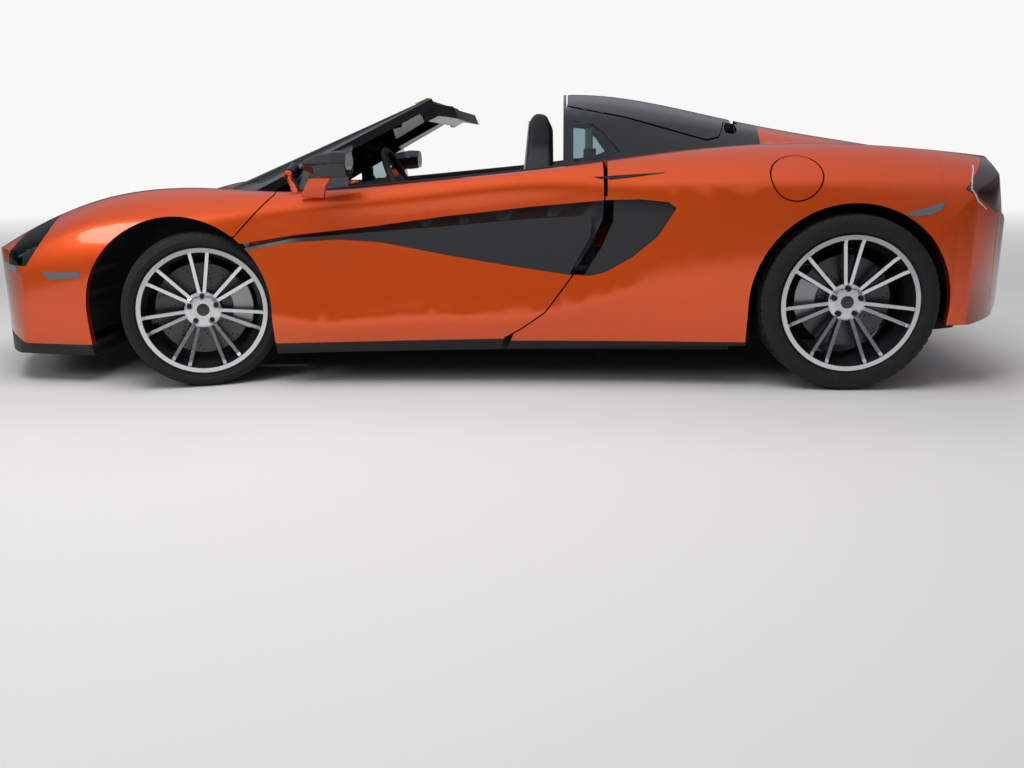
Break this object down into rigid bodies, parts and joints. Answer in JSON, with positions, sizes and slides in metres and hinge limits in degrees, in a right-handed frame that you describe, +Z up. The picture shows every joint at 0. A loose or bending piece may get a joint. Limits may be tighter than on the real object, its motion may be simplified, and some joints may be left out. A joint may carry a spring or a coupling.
{
  "type": "supercar",
  "caption": "Low mid-engined open two-seater with its roof stowed, orange paint, black hoops and side blades, upward-swinging doors and steered front wheels.",
  "frame": {"origin": "on the ground, midway along the car's length and width", "axes": "+X from nose to tail, +Y to the car's right-hand side, +Z up"},
  "size_m": [4.5, 2.094, 1.1919],
  "materials": {
    "paint": "gloss",
    "gloss_black": "gloss",
    "side_panel": "satin",
    "black_trim": "satin",
    "lamp": "gloss",
    "tail_lamp": "gloss",
    "glass": "gloss",
    "tub": "matte",
    "leather": "satin",
    "alloy": "satin",
    "cast_alloy": "matte",
    "disc": "satin",
    "caliper": "satin",
    "tyre": "matte",
    "exhaust": "satin"
  },
  "bodies": {
    "body": {"arch_liners": "black_trim", "buttresses": "gloss_black", "cowl": "black_trim", "dashboard": "leather", "diffuser": "black_trim", "engine_block": "cast_alloy", "engine_cover": "black_trim", "engine_deck": "paint", "exhausts": "exhaust", "floor_and_skirts": "black_trim", "footwell": "tub", "front_bumper": "paint", "front_fender_left": "paint", "front_fender_right": "paint", "front_splitter": "black_trim", "front_subframe": "cast_alloy", "headlamps": "lamp", "luggage_bin": "black_trim", "monocoque": "tub", "rear_bumper": "paint", "rear_glass": "glass", "rear_grille": "black_trim", "rear_hubs": "cast_alloy", "rear_quarter_left": "paint", "rear_quarter_right": "paint", "rear_subframe": "cast_alloy", "scoop_panels": "side_panel", "seats": "leather", "steering_wheel": "leather", "stowage_bay": "black_trim", "tail_lamps": "tail_lamp", "windscreen_frame": "gloss_black", "windscreen_glass": "glass"},
    "knuckle_left": {"knuckle_left": "cast_alloy", "caliper_left": "caliper"},
    "knuckle_right": {"knuckle_right": "cast_alloy", "caliper_right": "caliper"},
    "door_left": {"door_left": "paint", "blade_left": "side_panel", "mirror_left": "gloss_black", "quarter_pane_left": "glass"},
    "door_right": {"door_right": "paint", "blade_right": "side_panel", "mirror_right": "gloss_black", "quarter_pane_right": "glass"},
    "bonnet": {"bonnet": "paint"},
    "tonneau_cover": {"tonneau_cover": "gloss_black"},
    "fuel_flap": {"fuel_flap": "paint"},
    "wheel_front_left": {"tyre_front_left": "tyre", "wheel_front_left": "alloy", "disc_front_left": "disc"},
    "wheel_front_right": {"tyre_front_right": "tyre", "wheel_front_right": "alloy", "disc_front_right": "disc"},
    "wheel_rear_left": {"tyre_rear_left": "tyre", "wheel_rear_left": "alloy", "disc_rear_left": "disc"},
    "wheel_rear_right": {"tyre_rear_right": "tyre", "wheel_rear_right": "alloy", "disc_rear_right": "disc"}
  },
  "joints": [
    {"name": "steer_left", "type": "hinge", "parent": "body", "child": "knuckle_left", "pos_m": [-1.17, -0.7965, 0.32], "axis": [0, 0, 1], "range_deg": [-55, 15]},
    {"name": "steer_right", "type": "hinge", "parent": "body", "child": "knuckle_right", "pos_m": [-1.17, 0.7965, 0.32], "axis": [0, 0, 1], "range_deg": [-55, 15]},
    {"name": "spin_front_left", "type": "hinge", "parent": "knuckle_left", "child": "wheel_front_left", "pos_m": [-1.15632, -0.83409, 0.32], "axis": [-0.342, 0.9397, 0], "continuous": true},
    {"name": "spin_front_right", "type": "hinge", "parent": "knuckle_right", "child": "wheel_front_right", "pos_m": [-1.18368, 0.83409, 0.32], "axis": [-0.342, 0.9397, 0], "continuous": true},
    {"name": "spin_rear_left", "type": "hinge", "parent": "body", "child": "wheel_rear_left", "pos_m": [1.5, -0.809, 0.3535], "axis": [0, 1, 0], "continuous": true},
    {"name": "spin_rear_right", "type": "hinge", "parent": "body", "child": "wheel_rear_right", "pos_m": [1.5, 0.809, 0.3535], "axis": [0, 1, 0], "continuous": true},
    {"name": "door_left_hinge", "type": "hinge", "parent": "body", "child": "door_left", "pos_m": [-0.766, -0.781, 0.87], "axis": [-0.2507, -0.8024, -0.5416], "range_deg": [0, 70]},
    {"name": "door_right_hinge", "type": "hinge", "parent": "body", "child": "door_right", "pos_m": [-0.766, 0.781, 0.87], "axis": [0.2507, -0.8024, 0.5416], "range_deg": [0, 70]},
    {"name": "bonnet_hinge", "type": "hinge", "parent": "body", "child": "bonnet", "pos_m": [-1.298, 0, 0.708], "axis": [0, 1, 0], "range_deg": [0, 60]},
    {"name": "tonneau_hinge", "type": "hinge", "parent": "body", "child": "tonneau_cover", "pos_m": [1.052, 0, 1.036], "axis": [0, 1, 0], "range_deg": [0, 40]},
    {"name": "fuel_flap_hinge", "type": "hinge", "parent": "body", "child": "fuel_flap", "pos_m": [1.146, -0.89469, 0.84596], "axis": [0, -0.4695, -0.8829], "range_deg": [0, 85]}
  ],
  "couplings": [
    {"joint": "steer_right", "follows": "steer_left", "ratio": 1}
  ]
}
